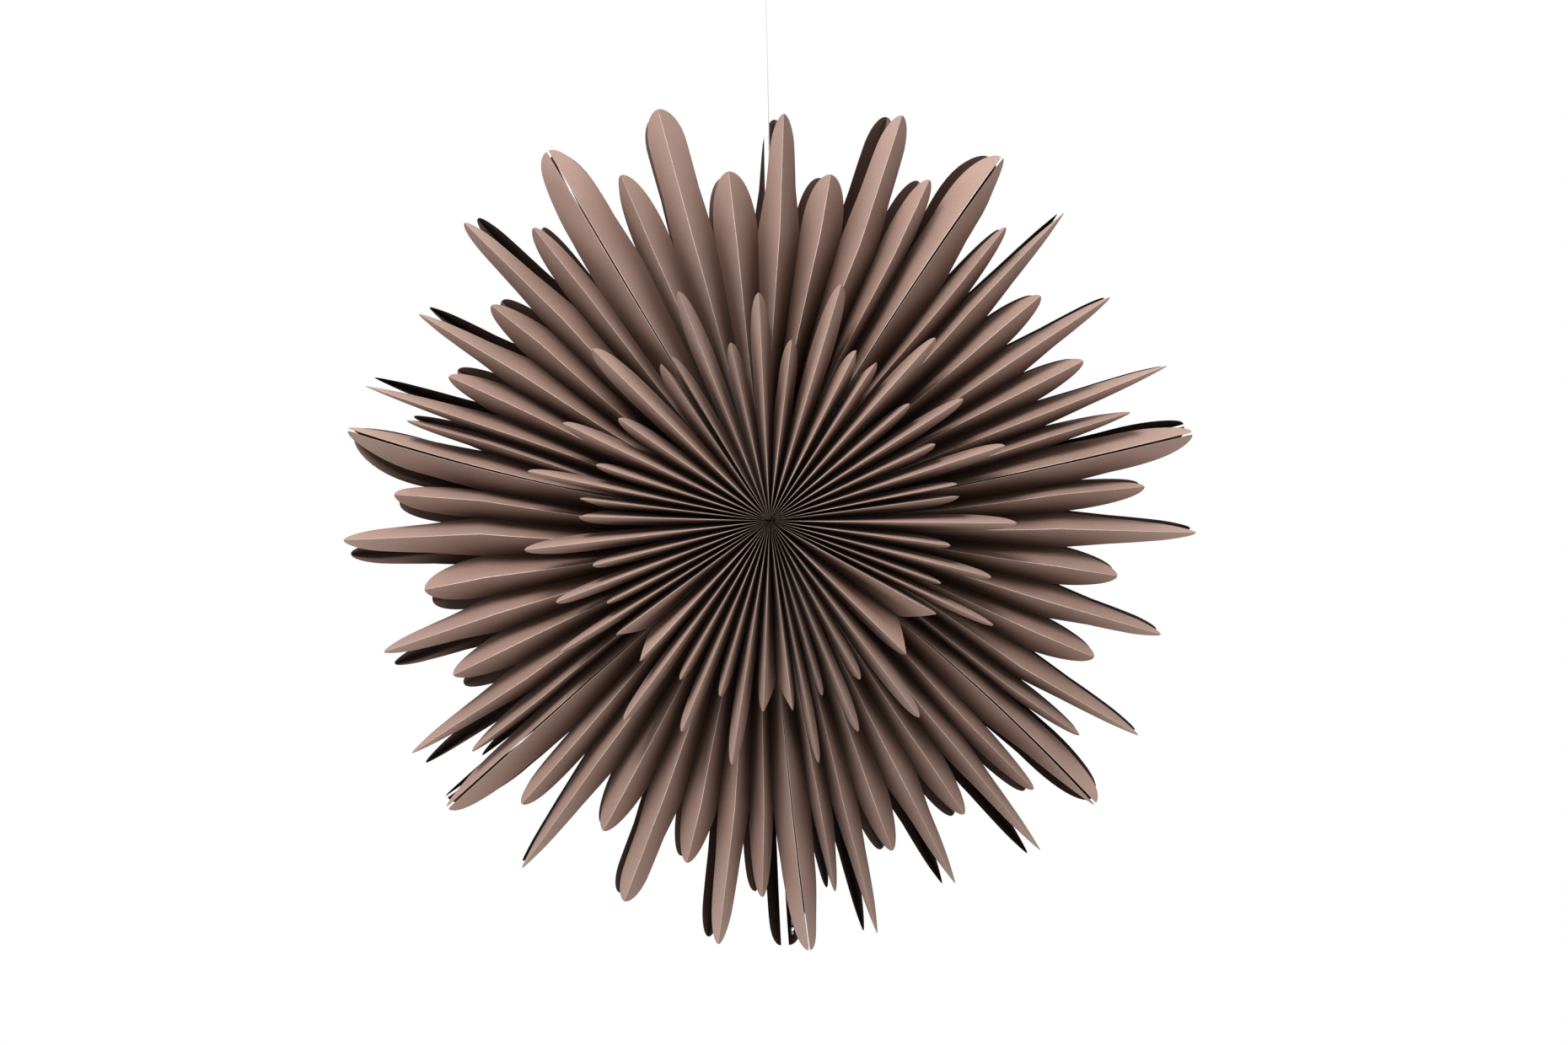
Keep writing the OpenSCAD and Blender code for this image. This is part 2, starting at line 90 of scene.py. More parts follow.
def meshValue(tree, name):
    return addNode(tree, "ShaderNodeAttribute", {"attribute_name": name}, out=2)


# Stretches the values from one range to another, and clamps them
def stretch(tree, wire, low, high, toLow=0.0, toHigh=1.0):
    return addNode(tree, "ShaderNodeMapRange", {}, {0: wire, 1: low, 2: high, 3: toLow, 4: toHigh})


def newMaterial(name, fixed):
    material = bpy.data.materials.new(name)
    material.use_nodes = True
    shader = material.node_tree.nodes["Principled BSDF"]
    for socket, value in fixed.items():
        shader.inputs[socket].default_value = value
    return material, material.node_tree, shader


def feed(tree, shader, **wires):
    for socket, wire in wires.items():
        tree.links.new(wire.socket, shader.inputs[socket.replace("_", " ")])


def bump(tree, height, strength, distance):
    return addNode(tree, "ShaderNodeBump", {}, {"Strength": strength, "Distance": distance, "Height": height})


# The camera looks square on from the front, through a long lens
camera = {
    "away": 6.5, "sensor": 36, "clipEnd": 50, "millimetresPerPixel": 0.79, "imageWidth": 1860,
    "starPixel": (913, 618), "middle": (930, 620),
}
# The star's centre, and how far the outer petals stand in front of it
starX = 6 * mm
starZ = -520 * mm
petalFront = 52 * mm


def makeCamera():
    scale = camera["millimetresPerPixel"] * mm
    data = bpy.data.cameras.new("view")
    data.sensor_width = camera["sensor"]
    data.lens = data.sensor_width * camera["away"] / (camera["imageWidth"] * scale)
    data.clip_end = camera["clipEnd"]
    view = bpy.data.objects.new("view", data)
    bpy.context.scene.collection.objects.link(view)
    aimX = starX + (camera["middle"][0] - camera["starPixel"][0]) * scale
    aimZ = starZ - (camera["middle"][1] - camera["starPixel"][1]) * scale
    view.location = (aimX, -camera["away"] - petalFront, aimZ)
    view.rotation_euler = (radians(90), 0, 0)
    bpy.context.scene.camera = view


makeCamera()

# The cord, on the same points as its solid
cord = {
    "diameter": 5 * mm, "start": -22, "end": -258, "side": 4.5,
    "bends": [(0, 0), (0.22, 0.16), (0.67, 0.54), (1, 1)],
    "perStretch": 12, "sides": 28, "sharpFrom": 50,
}


# A tube through a row of points, closed at both ends; the rings stay level, as the cord's ends do
def tubeMesh(name, points, radius, sides):
    vertices = [p + Vector((cos(2 * pi * k / sides), sin(2 * pi * k / sides), 0)) * radius
                for p in points for k in range(sides)]
    faces = []
    for i in range(len(points) - 1):
        for k in range(sides):
            a, b = i * sides + k, i * sides + (k + 1) % sides
            faces.append([a + sides, b + sides, b, a])
    last = (len(points) - 1) * sides
    faces += [list(range(sides)), [last + k for k in reversed(range(sides))]]
    mesh = bpy.data.meshes.new(name)
    mesh.from_pydata(vertices, [], faces)
    mesh.shade_smooth()
    mesh.set_sharp_from_angle(angle=radians(cord["sharpFrom"]))
    return mesh


def makeCord():
    down = cord["end"] - cord["start"]
    route = [Vector((s * cord["side"], 0, cord["start"] + d * down)) * mm for s, d in cord["bends"]]
    points = []
    for a, b in zip(route, route[1:]):
        points += [a.lerp(b, k / cord["perStretch"]) for k in range(cord["perStretch"])]
    points.append(route[-1])
    mesh = tubeMesh("white_cord", points, cord["diameter"] / 2, cord["sides"])
    piece = bpy.data.objects.new("white_cord", mesh)
    bpy.context.scene.collection.objects.link(piece)
    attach(piece, "root")
    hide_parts("lamp_cord")
    length = sum((b - a).length for a, b in zip(points, points[1:]))
    return piece


# How the folded paper is laid out, in millimetres and degrees. Most sizes are the solids' own; the seams, the
# roots and the petals' shapes were set here against the photograph
paper = {
    "thickness": 0.3, "panel": 37, "fit": 0.15, "fans": 7,
    "seamIn": [9.2, 59.5, 122.75, 176, 222, 272.5, 323.2],
    "seamFront": [11.7, 57.4, 121, 167.8, 221.7, 275.3, 319],
    "seamBack": [13, 58.7, 120.6, 168, 220.5, 272.05, 319.5],
    "seamNear": [10.4, 59.6, 121.5, 171.4, 221.4, 273.7, 322.8],
    "seamNearBack": [12, 61.2, 124, 177.2, 223.6, 271.2, 324.9],
    "backTurn": 1.2,
    "leanFront": [-2, -1, 5, 4, 0.5, -1, -2],
    "leanBack": [-3, 1, 4, 6.2, 0.5, -1, -2],
    "innerFirst": [11, 63, 124.6, 178.7, 227.2, 276.9, 330.7],
    "innerLast": [56.1, 120.9, 173.4, 216.7, 268.2, 315.7, 367.4],
    "innerLean": [-1.4, 0.8, 5.7, 3.2, -0.3, -3.5, -3.4],
    "widestShare": 0.95, "narrowest": 0.01, "mostThrough": 10, "neckEnd": 0.38, "wallGrows": 4,
    "sharpFrom": 28,
}
# How uneven the paper is: panels bulge, their bulge wavers along them, and the tips bend forward or back
unevenness = {
    "bulge": 0.9, "bulgeMean": 0.6, "bulgeSpread": 0.4, "bulgeFull": 9, "tipBend": 1.6, "tipBendLess": 0.3,
    "waver": {"seam": 1.3, "other": 0.4}, "waverLength": 15, "waverStart": 6, "tipKey": 7, "waverKey": 3,
}
# Near the centre the light fold lines, partly rubbed paper and partly painted highlight, widen from this
# radius inwards
foldLineWidening = {"from": 100, "over": 70, "most": 0.55}
# The outer petals of each fan as the photograph shows them: which way petals 1 to 7 point, in degrees, how
# far the V of petals 0 to 8 has closed at its tip, how far the back petals stand beside the front ones at
# the fan's two ends, and how dark the painted shade on their inner faces is
outerFans = [
    {"turns": [16.7, 21.3, 27, 33.3, 39.7, 46.3, 51.2],
     "shut": [0.3, 0.6, 0.88, 0.36, 0.85, 0.36, 0.94, 0.4, 0.6],
     "beside": (0, 0.8), "paintedInsideShade": 0.95},
    {"turns": [64.9, 71.9, 80, 88, 96.7, 105.2, 113.3],
     "shut": [0.12, 0.2, 0.5, 0.1, 0.62, 0.12, 0.3, 0.12, 0.25],
     "beside": (2.6, 0), "paintedInsideShade": 0.65},
    {"turns": [128.9, 135.7, 142.3, 149.5, 155.8, 161.6, 164.6],
     "shut": [0.3, 0.3, 0.7, 0.36, 0.85, 0.36, 0.9, 0.5, 0.4],
     "beside": (-1.8, -1.4), "paintedInsideShade": 0.95},
    {"turns": [176, 182.6, 191.3, 198.8, 206, 213, 217.8],
     "shut": [0.5, 0.1, 0.7, 0.25, 0.76, 0.36, 0.85, 0.5, 0.5],
     "beside": (1.8, 2.2), "paintedInsideShade": 0.75},
    {"turns": [228.8, 234.5, 241.8, 249.1, 256.4, 263.1, 268.9],
     "shut": [0.35, 0.2, 0.88, 0.36, 0.45, 0.36, 0.6, 0.3, 0.45],
     "beside": (0, -2), "paintedInsideShade": 0.95},
    {"turns": [280, 284.6, 290.4, 297.1, 303.5, 309.4, 314.5],
     "shut": [0.4, 0.6, 0.88, 0.36, 0.9, 0.36, 0.9, 0.3, 0.75],
     "beside": (-1.8, -1.6), "paintedInsideShade": 1.0},
    {"turns": [325.3, 329.8, 337.2, 343.8, 351, 358.4, 365.2],
     "shut": [0.2, 0.45, 0.85, 0.36, 0.75, 0.36, 0.8, 0.3, 0.35],
     "beside": (0.3, 0.7), "paintedInsideShade": 0.9},
]
outer = {
    "root": 8, "turnFrom": 151, "notch": 272, "rim": 404.5, "top": 52, "rootOpen": 0.25, "seamOpen": 2.4,
    "closingSeam": 5, "closingOpen": {False: 1.5, True: 7.7},  # False in front, True behind
    "seamValley": 0.67, "petals": 8,
    "tips": [404.5, 353, 400, 330, 382, 330, 400, 353, 404.5],
    "shapes": {"wall": (0.8, 0.6), "seam": (0.87, 0.42), "middle": (0.8, 0.74), "long": (0.86, 0.74),
               "side": (1, 0), "short": (1, 0)},
    "mostSeamShutBehind": 0.15, "besideGrows": 1.5,
}
# Painted shade in the outer pleats: in the valleys it fades outwards, on the whole panel it ends at a radius
outerShade = {
    "fadeFrom": 150, "valleyReach": 2.2, "valleyFade": 0.3, "panel": 0.42, "panelTo": 390, "panelOver": 220,
    "shortInside": 0.7,
}
inner = {
    "root": 1.2, "notch": 100, "slit": 151, "top": 89.45, "rootOpen": 0.1, "open": 1.6, "petals": 7,
    "tips": [178, 230, 170, 213, 170, 230, 178], "shape": (0.85, 0.45), "shut": 0.35,
}
# Painted shade in the inner pleats, which is less at their tips and in the middle of the star
innerShade = {"reach": 2.4, "foldReach": 1.6, "power": 1.4, "tipFade": 0.6, "middle": 0.2, "middleTo": 22}
across = [0, 0.03, 0.25, 0.5, 0.75, 1]  # columns of a panel, from ridge to valley: the first is the fold line, partly worn paper and partly painted highlight
bodyRows = 12
petalRows = 16
rowPower = 1.3  # above 1 the rows lie closer together near the centre


def polar(r, a):
    return Vector((r * cos(radians(a)), r * sin(radians(a))))


def blend(a, b, s):
    return a + (b - a) * s


def clamp(value, high=1):
    return min(max(value, 0), high)


def leaning(share, lean):
    return lean * 4 * share * (1 - share)


def seamAt(seams, i):
    n = paper["fans"]
    return seams[i % n] + (360 if i >= n else 0)


def partTurn(width, r):
    return degrees(asin(width / 2 / r))


widest = paper["widestShare"] * paper["panel"]


def dropOf(c):
    return sqrt(paper["panel"] ** 2 - c ** 2)


def throughPaper(c):
    t = paper["thickness"]
    return min(t * paper["panel"] / max(c, paper["narrowest"]) - t / 2, paper["mostThrough"] * t)


def petalWidth(u, waist, roundFrom):
    neck = blend(1, waist, min(u / paper["neckEnd"], 1))
    if u < roundFrom:
        return neck
    return neck * sqrt(max(0, 1 - ((u - roundFrom) / (1 - roundFrom)) ** 2))


# A repeatable unevenness from -1 to 1, made from the fraction that is left of a large sine
def uneven(*key):
    stride, size = 12.9898, 43758.5453
    value = sin(sum((i + 1) * stride * k for i, k in enumerate(key))) * size
    return 2 * (value - value // 1) - 1


class Sheet:
    def __init__(self, fan, back):
        self.fan = fan
        self.back = back
        self.points = []
        self.wearAndHighlight = []
        self.valleyShades = []
        self.innerShades = []
        self.faces = []
        self.known = {}

    def add(self, key, at, front, behind, wearAndHighlight, shade, inner):
        if key is not None and key in self.known:
            return self.known[key]
        self.points.append((at, front, behind))
        self.wearAndHighlight.append(wearAndHighlight)
        self.valleyShades.append(shade)
        self.innerShades.append(inner)
        if key is not None:
            self.known[key] = len(self.points) - 1
        return len(self.points) - 1

    # How far the light fold line, partly worn paper and partly painted highlight, widens near the centre
    def wornLitFold(self, r):
        return clamp((foldLineWidening["from"] - r) / foldLineWidening["over"], foldLineWidening["most"])

    def halfPitch(self, j, r):
        low, high = self.near(j)
        return (self.place(high, r) - self.place(low, r)).length / max(high - low, 1)

    # A point of a panel: share s of the way from its ridge to its valley, share u of the way along its petal
    def panelPoint(self, ridge, valley, r, s, u):
        t = paper["thickness"] / 2
        ridgeAt = self.place(ridge, r)
        tipBend = -unevenness["tipBend"] * (1 + uneven(self.fan, ridge, unevenness["tipKey"], self.back))
        tipBend = tipBend * u * u * (1 - unevenness["tipBendLess"] * s)
        if self.isWall(valley):
            deep = throughPaper(min(self.halfPitch(ridge, r), widest))
            side = -1 if valley == 0 else 1
            grown = min(s * paper["wallGrows"], 1)
            away = Vector((-ridgeAt.y, ridgeAt.x)).normalized() * side * paper["thickness"] * grown
            foot = paper["fit"] / 2
            front = blend(self.top + t, foot, s) + tipBend * (1 - s)
            behind = blend(self.top - deep, foot, s) + tipBend * (1 - s)
            return (ridgeAt + away, ridgeAt), front, behind
        leftOpen = 1 - self.shut((ridge - 1) // 2, valley) * u
        c = leftOpen * min(self.halfPitch(valley, r), widest)
        toValley = self.place(valley, r) - ridgeAt
        own = unevenness["bulgeSpread"] * uneven(self.fan, ridge, valley, self.back)
        bulge = unevenness["bulge"] * sin(pi * min(s, 1)) * (unevenness["bulgeMean"] + own)
        waver = unevenness["waver"]["seam" if self.atSeam(ridge) else "other"]
        start = unevenness["waverStart"] * uneven(self.fan, ridge, unevenness["waverKey"])
        wave = sin(r / unevenness["waverLength"] + start)
        bulge *= min(c / unevenness["bulgeFull"], 1) * (1 + waver * wave)
        at = ridgeAt + toValley * s * leftOpen + toValley.normalized() * bulge * dropOf(c) / paper["panel"]
        height = self.top - s * dropOf(c) + bulge * c / paper["panel"] + tipBend
        deep = throughPaper(c)
        return (at, at), height + blend(t, deep, s), height - blend(deep, t, s)

    def vertex(self, ridge, valley, row, r, s, u, column, rows):
        at, front, behind = self.panelPoint(ridge, valley, r, s, u)
        key = None
        if column == 0:
            key = ("fold", ridge, row)
        elif s == 1 and row <= rows:
            key = ("fold", valley, row)
        # Painted shade towards the valleys; the fold line below is partly worn paper and partly painted
        # highlight
        shade = 0.0 if self.isWall(valley) else self.valleyShade(s, r, u)
        wearAndHighlight = 1.0 if column == 0 else self.wornLitFold(r) if column == 1 else 0.0
        return self.add(key, at, front, behind, wearAndHighlight, shade, self.insideShade(ridge))

    def build(self):
        for p in range(self.folds - 1):
            ridge = p if p % 2 else p + 1
            valley = p + 1 if p % 2 else p
            tip = self.tips[(ridge - 1) // 2]
            grid = []
            for i in range(bodyRows + 1):
                r = blend(self.root, self.notch, (i / bodyRows) ** rowPower)
                line = [self.vertex(ridge, valley, i, r, s, 0, k, bodyRows) for k, s in enumerate(across)]
                grid.append(line)
            for i in range(1, petalRows):
                u = sin(pi / 2 * i / petalRows)
                r = blend(self.notch, tip, u)
                wide = self.cut(p, ridge, u, r)
                row = bodyRows + i
                line = [self.vertex(ridge, valley, row, r, s * wide, u, k, -1) for k, s in enumerate(across)]
                grid.append(line)
            end = self.vertex(ridge, valley, bodyRows + petalRows, tip, 0, 1, 0, -1)
            flip = p % 2 == 0
            for upper, lower in zip(grid[1:], grid):
                for k in range(len(across) - 1):
                    self.addFace([lower[k], lower[k + 1], upper[k + 1]], flip)
                    self.addFace([lower[k], upper[k + 1], upper[k]], flip)
            for k in range(len(across) - 1):
                self.addFace([grid[-1][k], grid[-1][k + 1], end], flip)
        return self

    # Triangles, so that the paper's two faces bend along the same diagonals
    def addFace(self, face, flip):
        self.faces.append(face[::-1] if flip else face)

    def lift(self, at, height):
        side = 1 if self.back else -1
        return (starX + at.x * mm, side * height * mm, starZ + at.y * mm)

    def mesh(self, name):
        vertices = []
        for (atFront, atBack), front, behind in self.points:
            vertices += [self.lift(atFront, front), self.lift(atBack, behind)]
        directed = {(f[i], f[(i + 1) % len(f)]) for f in self.faces for i in range(len(f))}
        faces = [[2 * v for v in f] for f in self.faces]
        faces += [[2 * v + 1 for v in f[::-1]] for f in self.faces]
        faces += [[2 * b, 2 * a, 2 * a + 1, 2 * b + 1] for a, b in sorted(directed) if (b, a) not in directed]
        if not self.back:
            faces = [f[::-1] for f in faces]
        mesh = bpy.data.meshes.new(name)
        mesh.from_pydata(vertices, [], faces)
        # Marks for the fold line (worn paper and painted highlight), the painted valley shade and the painted
        # shade of the inner faces
        marks = {"foldWearAndHighlight": [v for w in self.wearAndHighlight for v in (w, w)],
                 "valleyShade": [v for w in self.valleyShades for v in (w, w)],
                 "innerFaceShade": [v for w in self.innerShades for v in (0.0, w)]}
        for attribute, values in marks.items():
            mesh.attributes.new(attribute, "FLOAT", "POINT").data.foreach_set("value", values)
        mesh.shade_smooth()
        mesh.set_sharp_from_angle(angle=radians(paper["sharpFrom"]))
        return mesh


class OuterSheet(Sheet):
    def __init__(self, fan, back):
        super().__init__(fan, back)
        self.root, self.notch, self.top = outer["root"], outer["notch"], outer["top"]
        self.tips = outer["tips"]
        self.folds = 2 * outer["petals"] + 3
        self.seams = paper["seamBack" if back else "seamFront"]
        self.lean = paper["leanBack" if back else "leanFront"][fan]

    def isWall(self, j):
        return j in (0, self.folds - 1)

    def atSeam(self, ridge):
        return ridge in (1, self.folds - 2)

    def near(self, j):
        return max(j - 1, 1), min(j + 1, self.folds - 2)

    def kind(self, k):
        if k in (0, outer["petals"]):
            return "seam"
        if k == outer["petals"] // 2:
            return "middle"
        if k in (1, outer["petals"] - 1):
            return "side"
        return "short" if k % 2 else "long"

    def shut(self, k, valley):
        shut = outerFans[self.fan]["shut"][k]
        return min(shut, outer["mostSeamShutBehind"]) if self.back and k in (0, outer["petals"]) else shut

    # Painted shade: the pleats are painted darker towards their valleys and towards the centre; the long
    # petals get the darkest painted shade on their inner faces
    def valleyShade(self, s, r, u):
        out = clamp((r - outerShade["fadeFrom"]) / (self.notch - outerShade["fadeFrom"]))
        fade = 1 - outerShade["valleyFade"] * out
        valley = min(1, s * (outerShade["valleyReach"] - out)) * (1 - u) * fade
        panel = outerShade["panel"] * clamp((outerShade["panelTo"] - r) / outerShade["panelOver"])
        return panel + (1 - panel) * valley

    # Painted shade on the inner faces, darkest for the long petals
    def insideShade(self, ridge):
        deep = outerFans[self.fan]["paintedInsideShade"]
        isLong = self.kind((ridge - 1) // 2) in ("long", "middle", "seam")
        return deep if isLong else outerShade["shortInside"] * deep

    def seamTurn(self, seam, r):
        turned = clamp((r - outer["turnFrom"]) / (outer["rim"] - outer["turnFrom"]))
        near = seamAt(paper["seamNearBack" if self.back else "seamNear"], seam)
        return blend(near, seamAt(self.seams, seam), turned)

    def openAt(self, seam, r):
        closing = seam % paper["fans"] == outer["closingSeam"]
        rimOpen = outer["closingOpen"][self.back] if closing else outer["seamOpen"]
        return blend(outer["rootOpen"], rimOpen, (r - outer["root"]) / (outer["rim"] - outer["root"]))

    def ridgeTurn(self, k, r, lean):
        start = self.seamTurn(self.fan, r) + partTurn(self.openAt(self.fan, r), r)
        end = self.seamTurn(self.fan + 1, r) - partTurn(self.openAt(self.fan + 1, r), r)
        share = k / outer["petals"]
        even = blend(start, end, share) + leaning(share, lean)
        if k in (0, outer["petals"]):
            return even
        look = outerFans[self.fan]
        seen = look["turns"][k - 1]
        if self.back:
            seen += blend(*look["beside"], share) * min(1, outer["besideGrows"] * leaning(share, 1))
        return blend(even, seen, clamp((r - outer["turnFrom"]) / (self.notch - outer["turnFrom"])))

    def turn(self, j, r, lean):
        last = outer["petals"]
        k = clamp((j - 1) // 2, last)
        if j in (0, self.folds - 1) or j % 2:
            return self.ridgeTurn(k, r, lean)
        share = outer["seamValley"] if k == 0 else 1 - outer["seamValley"] if k == last - 1 else 0.5
        return blend(self.ridgeTurn(k, r, lean), self.ridgeTurn(k + 1, r, lean), share)

    def place(self, j, r):
        near = outer["turnFrom"]
        if r >= near:
            return polar(r, self.turn(j, r, self.lean))
        start = polar(self.root, self.turn(j, self.root, 0))
        return blend(start, polar(near, self.turn(j, near, self.lean)), (r - self.root) / (near - self.root))

    def cut(self, p, ridge, u, r):
        kind = "wall" if p in (0, self.folds - 2) else self.kind((ridge - 1) // 2)
        return petalWidth(u, *outer["shapes"][kind])


class InnerSheet(Sheet):
    def __init__(self, fan, back):
        super().__init__(fan, back)
        self.root, self.notch, self.top = inner["root"], inner["notch"], inner["top"]
        self.tips = inner["tips"]
        self.folds = 2 * inner["petals"] + 1

    def isWall(self, j):
        return False

    def atSeam(self, ridge):
        return False

    def near(self, j):
        return max(j - 1, 0), min(j + 1, self.folds - 1)

    def shut(self, k, valley):
        return 0 if valley in (0, self.folds - 1) else inner["shut"]

    # Painted shade: the inner pleats are painted darker towards their valleys
    def valleyShade(self, s, r, u):
        reach = innerShade["reach"] - u + innerShade["foldReach"] * self.wornLitFold(r)
        valley = min(1, (s * reach) ** innerShade["power"]) * (1 - innerShade["tipFade"] * u)
        return valley * min(1, innerShade["middle"] + r / innerShade["middleTo"])

    # Painted shade on the inner faces, at full strength
    def insideShade(self, ridge):
        return 1.0

    def edge(self, side, r, width):
        turn = partTurn(width, r)
        return seamAt(paper["seamIn"], self.fan + side) + (turn if side == 0 else -turn)

    def turn(self, j, r, width, atRoot):
        if j in (0, self.folds - 1):
            return self.edge(0 if j == 0 else 1, r, width)
        if j % 2 == 0:
            return blend(self.turn(j - 1, r, width, atRoot), self.turn(j + 1, r, width, atRoot), 0.5)
        k = (j + 1) // 2
        if atRoot:
            return blend(self.edge(0, r, width), self.edge(1, r, width), (2 * k - 1) / (2 * inner["petals"]))
        share = (k - 1) / (inner["petals"] - 1)
        first, last = paper["innerFirst"][self.fan], paper["innerLast"][self.fan]
        return blend(first, last, share) + leaning(share, paper["innerLean"][self.fan])

    def place(self, j, r):
        back = paper["backTurn"] if self.back else 0
        if r >= self.notch:
            return polar(r, self.turn(j, r, inner["open"], False) + back)
        start = polar(self.root, self.turn(j, self.root, inner["rootOpen"], True) + back)
        end = polar(self.notch, self.turn(j, self.notch, inner["open"], False) + back)
        return blend(start, end, (r - self.root) / (self.notch - self.root))

    def cut(self, p, ridge, u, r):
        if p in (0, self.folds - 2):
            tip = self.tips[0]
            return min(1, (tip - r) / (tip - inner["slit"]))
        return petalWidth(u, *inner["shape"])


# The paper's colours: the valley and inner colours are painted shade for the valleys and the inner faces; the
# worn fold colour is partly rubbed paper and partly painted highlight
paperLook = {
    "lit": (0.4, 0.272, 0.226), "dark": (0.33, 0.22, 0.182), "wornAndHighlight": (0.78, 0.65, 0.58, 1),
    "valley": (0.066, 0.024, 0.012, 1), "inner": (0.055, 0.03, 0.022, 1), "valleyShare": 0.95,
    "dye": {"scale": 9, "detail": 3}, "fibre": {"scale": 420, "detail": 4},
    "speck": {"scale": 1500, "detail": 2},
    "grainShares": (0.5, 0.3, 0.2), "reliefShares": (0.8, 0.2),
    "dyeRange": (0.36, 0.64), "creaseRange": (0.35, 0.75), "foldFibreRange": (0.3, 0.6), "leastFoldFibre": 0.55,
    "roughness": 0.82, "specular": 0.12, "sheen": 0.02, "bump": 0.08, "bumpDepth": 0.0004,
}


# Uncoated paper: uneven dye, short fibres and fine specks; its light fold lines are partly rubbed paper and
# partly painted highlight, and painted shade darkens the valleys and the inner faces
def paperMaterial(name, tone):
    fixed = {"Roughness": paperLook["roughness"], "Specular IOR Level": paperLook["specular"],
             "Sheen Weight": paperLook["sheen"]}
    material, tree, shader = newMaterial(name, fixed)
    place = objectPlace(tree)
    dye = noiseAt(tree, place, **paperLook["dye"])
    fibre = noiseAt(tree, place, **paperLook["fibre"])
    speck = noiseAt(tree, place, **paperLook["speck"])
    dyeShare, fibreShare, speckShare = paperLook["grainShares"]
    mottle = dye * dyeShare + fibre * fibreShare + speck * speckShare
    grain = stretch(tree, mottle, *paperLook["dyeRange"])
    lit, dark = [tuple(v * tone for v in paperLook[key]) + (1,) for key in ("lit", "dark")]
    dyed = mixColour(tree, grain, dark, lit)
    # The light fold line: partly rubbed paper, partly painted highlight
    crease = stretch(tree, meshValue(tree, "foldWearAndHighlight"), *paperLook["creaseRange"])
    wornLitFold = crease * stretch(tree, fibre, *paperLook["foldFibreRange"], toLow=paperLook["leastFoldFibre"])
    # Painted shade: darker towards the valleys and the centre
    deep = meshValue(tree, "valleyShade") * paperLook["valleyShare"]
    outside = mixColour(tree, wornLitFold, mixColour(tree, deep, dyed, paperLook["valley"]), paperLook["wornAndHighlight"])
    # Painted shade on the inner faces of the paper
    paintedInsideShade = meshValue(tree, "innerFaceShade")
    feed(tree, shader, Base_Color=mixColour(tree, paintedInsideShade, outside, paperLook["inner"]))
    fibreRelief, speckRelief = paperLook["reliefShares"]
    height = fibre * fibreRelief + speck * speckRelief
    feed(tree, shader, Normal=bump(tree, height, paperLook["bump"], paperLook["bumpDepth"]))
    return material


def makePaper():
    outerPaper = paperMaterial("mocha_paper_outer", 1.0)
    innerPaper = paperMaterial("mocha_paper_inner", 0.97)
    for back in (False, True):
        face = "back" if back else "front"
        for fan in range(paper["fans"]):
            for kind, maker, slot, material in (("sheet", OuterSheet, "outer_paper", outerPaper),
                                                ("fan", InnerSheet, "inner_paper", innerPaper)):
                name = f"folded_{face}_{kind}_{fan + 1}"
                mesh = maker(fan, back).build().mesh(name)
                mesh.materials.append(material)
                piece = bpy.data.objects.new(name, mesh)
                bpy.context.scene.collection.objects.link(piece)
                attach(piece, "root")
                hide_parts(f"{face}_{kind}_{fan + 1}")


plasticLook = {"detail": 4, "darker": 0.93, "roughSpread": 0.15, "bump": 0.1, "bumpDepth": 0.0002}
# The small pieces that keep their solid: finish, colour, roughness and the scale of the mottling
smallPieces = {
    "centre_core": ("dark_card", (0.1, 0.06, 0.045), 0.8, 500),
    "hanger_card": ("plain_card", (0.6, 0.55, 0.48), 0.75, 500),
    "lamp_holder": ("holder_plastic", (0.84, 0.84, 0.82), 0.4, 120),
    "hanging_eye": ("eye_plastic", (0.84, 0.84, 0.82), 0.4, 120),
    "closing_thread": ("pale_thread", (0.78, 0.76, 0.71), 0.8, 2500),
}
cordLook = ("cord_sleeve", (0.9, 0.9, 0.89), 0.45, 300)
beadLook = {
    "colour": (0.82, 0.82, 0.84, 1), "scale": 900, "detail": 2, "roughness": 0.08, "roughSpread": 0.12,
}
glassLook = {
    "transmission": 0.35, "ior": 1.45, "scale": 60, "detail": 2, "roughness": 0.35, "roughSpread": 0.1,
    "dull": (0.86, 0.85, 0.82, 1), "clear": (0.92, 0.91, 0.88, 1),
}


# Plain plastic, card or thread, with faint mottling
def plasticMaterial(name, colour, roughness, scale):
    material, tree, shader = newMaterial(name, {})
    noise = noiseAt(tree, objectPlace(tree), scale, plasticLook["detail"])
    darker = tuple(v * plasticLook["darker"] for v in colour) + (1,)
    feed(tree, shader, Base_Color=mixColour(tree, noise, darker, (*colour, 1)))
    feed(tree, shader, Roughness=noise * plasticLook["roughSpread"] + roughness)
    feed(tree, shader, Normal=bump(tree, noise, plasticLook["bump"], plasticLook["bumpDepth"]))
    return material


def beadMaterial():
    material, tree, shader = newMaterial("polished_bead", {"Metallic": 1.0, "Base Color": beadLook["colour"]})
    scratch = noiseAt(tree, objectPlace(tree), beadLook["scale"], beadLook["detail"])
    feed(tree, shader, Roughness=scratch * beadLook["roughSpread"] + beadLook["roughness"])
    return material


def glassMaterial():
    fixed = {"Transmission Weight": glassLook["transmission"], "IOR": glassLook["ior"]}
    material, tree, shader = newMaterial("frosted_bulb", fixed)
    haze = noiseAt(tree, objectPlace(tree), glassLook["scale"], glassLook["detail"])
    feed(tree, shader, Base_Color=mixColour(tree, haze, glassLook["dull"], glassLook["clear"]))
    feed(tree, shader, Roughness=haze * glassLook["roughSpread"] + glassLook["roughness"])
    return material


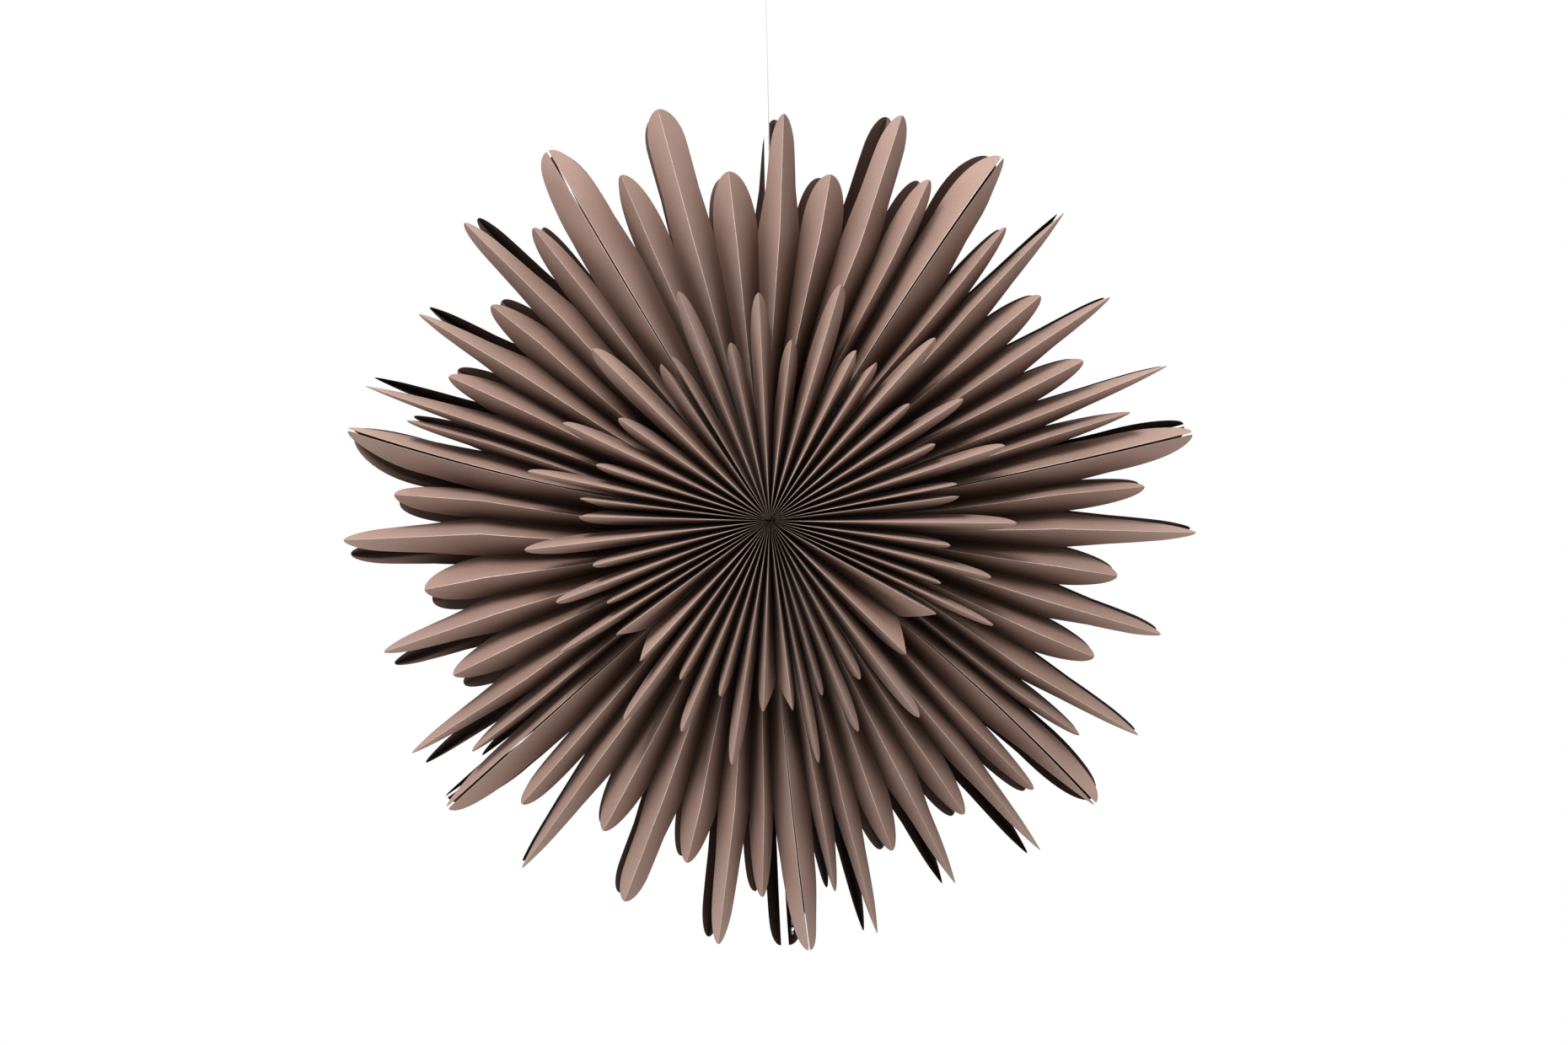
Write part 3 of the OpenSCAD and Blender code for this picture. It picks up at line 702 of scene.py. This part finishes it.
def dressNodes():
    looks = {node: plasticMaterial(*look) for node, look in smallPieces.items()}
    looks["closing_bead"] = beadMaterial()
    looks["bulb"] = glassMaterial()
    for node, material in looks.items():
        for slot in bpy.data.objects[node].material_slots:
            slot.material = material


stage = {"floorZ": -1.3, "reach": 1.5, "ambient": 0.6, "floor": (0.88, 0.88, 0.88, 1), "roughness": 0.9}


def makeStage():
    ends = ((-1, -1), (1, -1), (1, 1), (-1, 1))
    corners = [(x * stage["reach"], y * stage["reach"], stage["floorZ"]) for x, y in ends]
    mesh = bpy.data.meshes.new("floor")
    mesh.from_pydata(corners, [], [(0, 1, 2, 3)])
    floor = bpy.data.objects.new("floor", mesh)
    bpy.context.scene.collection.objects.link(floor)
    fixed = {"Base Color": stage["floor"], "Roughness": stage["roughness"]}
    mesh.materials.append(newMaterial("pale_floor", fixed)[0])

    world = bpy.data.worlds.new("studio")
    bpy.context.scene.world = world
    world.use_nodes = True
    tree = world.node_tree
    background = tree.nodes["Background"]
    background.inputs["Color"].default_value = (1, 1, 1, 1)
    rays = tree.nodes.new("ShaderNodeLightPath")
    seen = Wire(tree, rays.outputs["Is Camera Ray"]) + Wire(tree, rays.outputs["Is Glossy Ray"])
    seen = (seen + Wire(tree, rays.outputs["Is Transmission Ray"])).math("MINIMUM", 1.0)
    strength = seen * (1 - stage["ambient"]) + stage["ambient"]
    tree.links.new(strength.socket, background.inputs["Strength"])


lamps = {
    "key": {"at": (-0.6, -1.4, 1.2), "size": 0.8, "power": 61},
    "back": {"at": (0.9, 2.0, 2.0), "size": 1.0, "power": 30},
}


def makeLights():
    for name, lamp in lamps.items():
        data = bpy.data.lights.new(name, "AREA")
        data.size = lamp["size"]
        data.energy = lamp["power"]
        light = bpy.data.objects.new(name, data)
        light.location = lamp["at"]
        aim = Vector((starX, 0, starZ)) - Vector(lamp["at"])
        light.rotation_euler = aim.to_track_quat("-Z", "Y").to_euler()
        bpy.context.scene.collection.objects.link(light)


whiteCord = makeCord()
whiteCord.data.materials.append(plasticMaterial(*cordLook))
print("cord made")
makePaper()
print("paper folded")
dressNodes()
makeStage()
makeLights()
bpy.context.scene.view_settings.view_transform = "Standard"
print("stage and light set")
